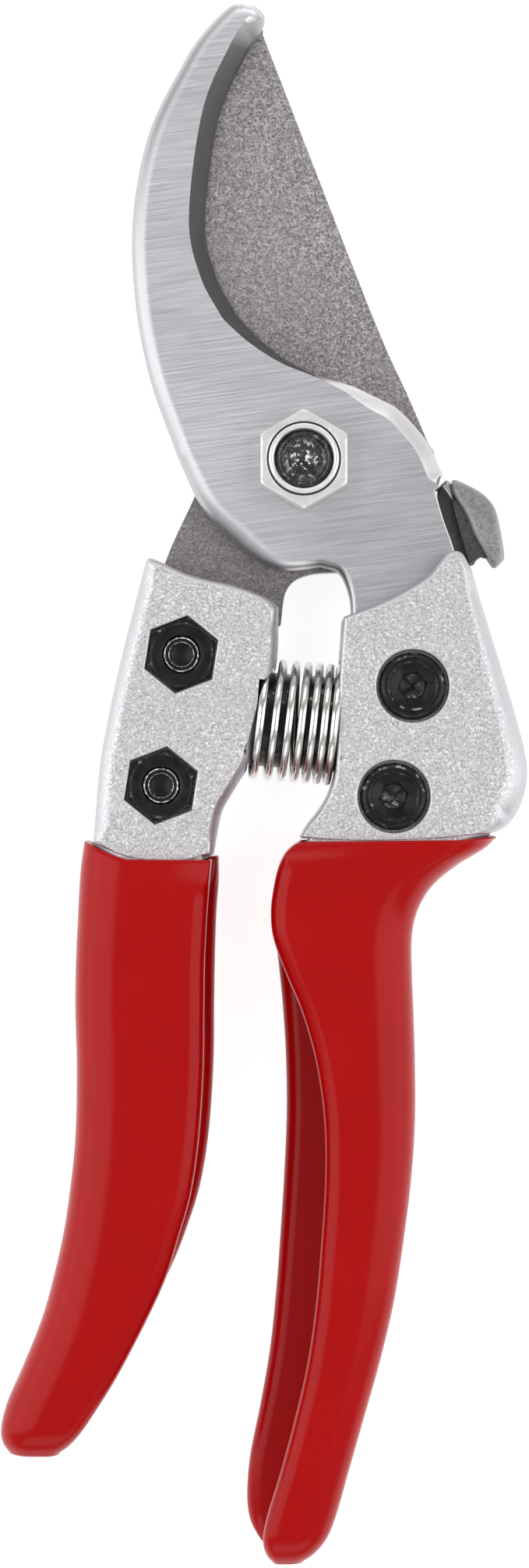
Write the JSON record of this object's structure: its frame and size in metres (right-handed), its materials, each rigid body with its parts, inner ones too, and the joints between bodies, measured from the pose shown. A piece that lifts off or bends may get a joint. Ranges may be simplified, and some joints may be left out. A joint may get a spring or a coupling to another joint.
{
  "type": "bypass pruner",
  "caption": "Hand pruner with a polished hook and a coated bypass blade on a nut-and-bolt pivot, cast handles with dipped grips, a return spring and a thumb lock.",
  "frame": {"origin": "on the pivot's axis, at the flat back face of the pivot bolt's head, which is in the plane that the pruner lies on", "axes": "+X to the right, away from the left grip, +Y along the tool towards the tip, +Z out of the back, towards the pivot nut"},
  "size_m": [0.0676, 0.2007, 0.0172],
  "materials": {
    "polished_steel": "fine cross brushing",
    "coated_steel": "grey-brown non-stick coat with a fine grain",
    "cast_aluminium": "blasted, sparkling",
    "red_vinyl": "glossy dipped vinyl",
    "black_steel": "black oxide, oiled",
    "bright_plated_steel": "bright satin plating",
    "spring_steel": "bright wire",
    "cast_lock_steel": "dark cast grey"
  },
  "bodies": {
    "hook_side": {"counter_blade": "polished_steel", "right_handle": "cast_aluminium", "right_grip": "red_vinyl", "pivot_bolt": "bright_plated_steel", "pivot_nut": "bright_plated_steel", "pivot_washer": "spring_steel", "right_upper_screw": "black_steel", "right_upper_nut": "black_steel", "right_lower_screw": "black_steel", "right_lower_nut": "black_steel", "lock_pin": "bright_plated_steel", "lock_washer": "spring_steel", "return_spring": "spring_steel"},
    "blade_side": {"cutting_blade": "coated_steel", "left_handle": "cast_aluminium", "left_grip": "red_vinyl", "left_upper_screw": "black_steel", "left_upper_nut": "black_steel", "left_lower_screw": "black_steel", "left_lower_nut": "black_steel"},
    "lock": {"lock_lever": "cast_lock_steel"}
  },
  "joints": [
    {"name": "handles_open", "type": "hinge", "parent": "hook_side", "child": "blade_side", "pos_m": [0, 0, 0.0078], "axis": [0, 0, -1], "range_deg": [0, 38], "deforming": ["return_spring"]},
    {"name": "lock_release", "type": "hinge", "parent": "hook_side", "child": "lock", "pos_m": [0.017, -0.0132, 0.0063], "axis": [0, 0, -1], "range_deg": [0, 20]}
  ],
  "couplings": [
    {"joint": "lock_release", "follows": "handles_open", "ratio": 0.52631}
  ]
}
